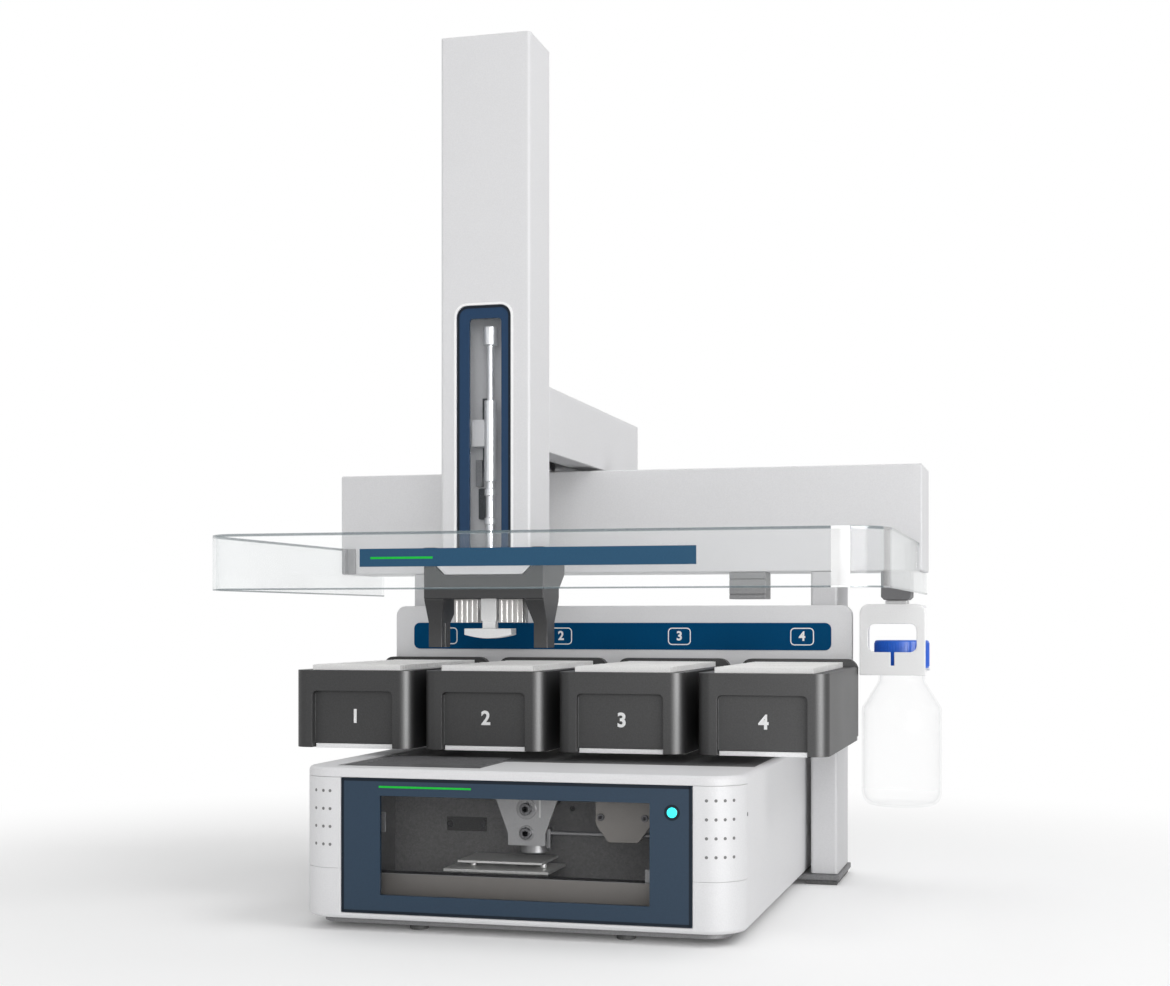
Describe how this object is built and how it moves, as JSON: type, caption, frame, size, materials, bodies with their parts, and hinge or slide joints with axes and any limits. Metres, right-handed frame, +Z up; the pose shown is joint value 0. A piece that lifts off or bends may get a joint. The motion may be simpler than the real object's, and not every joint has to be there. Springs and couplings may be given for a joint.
{
  "type": "card autosampler",
  "caption": "Bench autosampler for sample cards: a windowed clamp module, card racks, a gantry with a gripper tower, a clear shield and a wash bottle.",
  "frame": {"origin": "middle of the footprint, on the bench surface", "axes": "+X to the right seen from the front, +Y from the window side to the rear, +Z up"},
  "size_m": [0.6218, 0.5484, 0.7828],
  "materials": {
    "painted_housing": "light grey-white textured powder coat",
    "dark_steel": "dark grey powder coat",
    "rubber": "matt",
    "blue_trim": "satin slate blue",
    "blue_film": "satin deep blue film",
    "tinted_pane": "clear, grey tint",
    "clear_acrylic": "clear, polished",
    "lamp": "lit cyan lens",
    "rack_plastic": "fine grain",
    "card": "uncoated card, matt",
    "machined_steel": "turned",
    "aluminium": "satin",
    "coated_metal": "grey coat",
    "gripper_plastic": "satin dark grey",
    "white_plastic": "smooth white",
    "bottle_plastic": "translucent",
    "cap_plastic": "ribbed blue",
    "black_moulding": "satin black",
    "motor_can": "black lacquered"
  },
  "bodies": {
    "bench": {"base_pan": "dark_steel", "base_rear_panel": "painted_housing", "base_shell": "painted_housing", "beam_cover": "painted_housing", "beam_rear_cover": "painted_housing", "bottle_hanger": "coated_metal", "bottle_holder": "white_plastic", "card_reader": "coated_metal", "card_table": "coated_metal", "chamber_liner": "dark_steel", "clamp_motor": "motor_can", "deck_tray": "dark_steel", "foot_front_left": "rubber", "foot_front_right": "rubber", "foot_rear_left": "rubber", "foot_rear_right": "rubber", "ground_plate": "dark_steel", "guide_rod": "machined_steel", "label_strip": "blue_film", "leg_left": "painted_housing", "leg_right": "painted_housing", "power_inlet": "black_moulding", "rack_panel": "painted_housing", "rack_shelf": "painted_housing", "shield": "clear_acrylic", "shield_bracket_left": "coated_metal", "shield_bracket_right": "coated_metal", "shield_strip": "blue_trim", "x_motor": "motor_can", "x_rail": "aluminium"},
    "cover": {"front_cover": "painted_housing", "window_frame": "blue_trim", "window_pane": "tinted_pane", "status_lamp": "lamp"},
    "x_carriage": {"x_carriage": "aluminium"},
    "arm": {"arm_cover": "painted_housing", "arm_plate": "aluminium", "arm_beam": "aluminium", "tower_cover": "painted_housing", "tower_back": "painted_housing", "tower_window_frame": "blue_trim", "tower_window_pane": "tinted_pane", "z_motor": "motor_can"},
    "gripper": {"z_shaft": "machined_steel", "gripper_frame": "gripper_plastic"},
    "jaw_left": {"jaw_left": "coated_metal"},
    "jaw_right": {"jaw_right": "coated_metal"},
    "presser": {"presser_foot": "white_plastic"},
    "rack_1": {"rack_1": "rack_plastic", "card_pack_1": "card"},
    "rack_2": {"rack_2": "rack_plastic", "card_pack_2": "card"},
    "rack_3": {"rack_3": "rack_plastic", "card_pack_3": "card"},
    "rack_4": {"rack_4": "rack_plastic", "card_pack_4": "card"},
    "bottle": {"wash_bottle": "bottle_plastic"},
    "cap": {"bottle_cap": "cap_plastic"},
    "clamp": {"clamp_head": "aluminium"},
    "shuttle": {"shuttle_plate": "coated_metal"}
  },
  "joints": [
    {"name": "x_travel", "type": "slide", "parent": "bench", "child": "x_carriage", "axis": [1, 0, 0], "range_m": [-0.15, 0.285]},
    {"name": "y_travel", "type": "slide", "parent": "x_carriage", "child": "arm", "axis": [0, 1, 0], "range_m": [-0.085, 0.14]},
    {"name": "z_travel", "type": "slide", "parent": "arm", "child": "gripper", "axis": [0, 0, 1], "range_m": [-0.012, 0]},
    {"name": "jaw_left_grip", "type": "slide", "parent": "gripper", "child": "jaw_left", "axis": [1, 0, 0], "range_m": [0, 0.0025]},
    {"name": "jaw_right_grip", "type": "slide", "parent": "gripper", "child": "jaw_right", "axis": [-1, 0, 0], "range_m": [0, 0.0025]},
    {"name": "presser_lift", "type": "slide", "parent": "gripper", "child": "presser", "axis": [0, 0, 1], "range_m": [0, 0.0045], "stiffness_N_per_m": 150, "springref_m": -0.002},
    {"name": "cover_pull", "type": "slide", "parent": "bench", "child": "cover", "axis": [0, -1, 0], "range_m": [0, 0.08]},
    {"name": "rack_1_pull", "type": "slide", "parent": "bench", "child": "rack_1", "axis": [0, -1, 0], "range_m": [0, 0.2]},
    {"name": "rack_2_pull", "type": "slide", "parent": "bench", "child": "rack_2", "axis": [0, -1, 0], "range_m": [0, 0.2]},
    {"name": "rack_3_pull", "type": "slide", "parent": "bench", "child": "rack_3", "axis": [0, -1, 0], "range_m": [0, 0.2]},
    {"name": "rack_4_pull", "type": "slide", "parent": "bench", "child": "rack_4", "axis": [0, -1, 0], "range_m": [0, 0.2]},
    {"name": "bottle_pull", "type": "slide", "parent": "bench", "child": "bottle", "axis": [1, 0, 0], "range_m": [0, 0.09]},
    {"name": "cap_turn", "type": "hinge", "parent": "bottle", "child": "cap", "pos_m": [0.27208, 0.1049, 0.2121], "axis": [0, 0, 1], "continuous": true},
    {"name": "clamp_press", "type": "slide", "parent": "bench", "child": "clamp", "axis": [0, 0, -1], "range_m": [0, 0.006]},
    {"name": "shuttle_travel", "type": "slide", "parent": "bench", "child": "shuttle", "axis": [1, 0, 0], "range_m": [-0.025, 0.05]}
  ],
  "couplings": [
    {"joint": "jaw_right_grip", "follows": "jaw_left_grip", "ratio": 1}
  ]
}
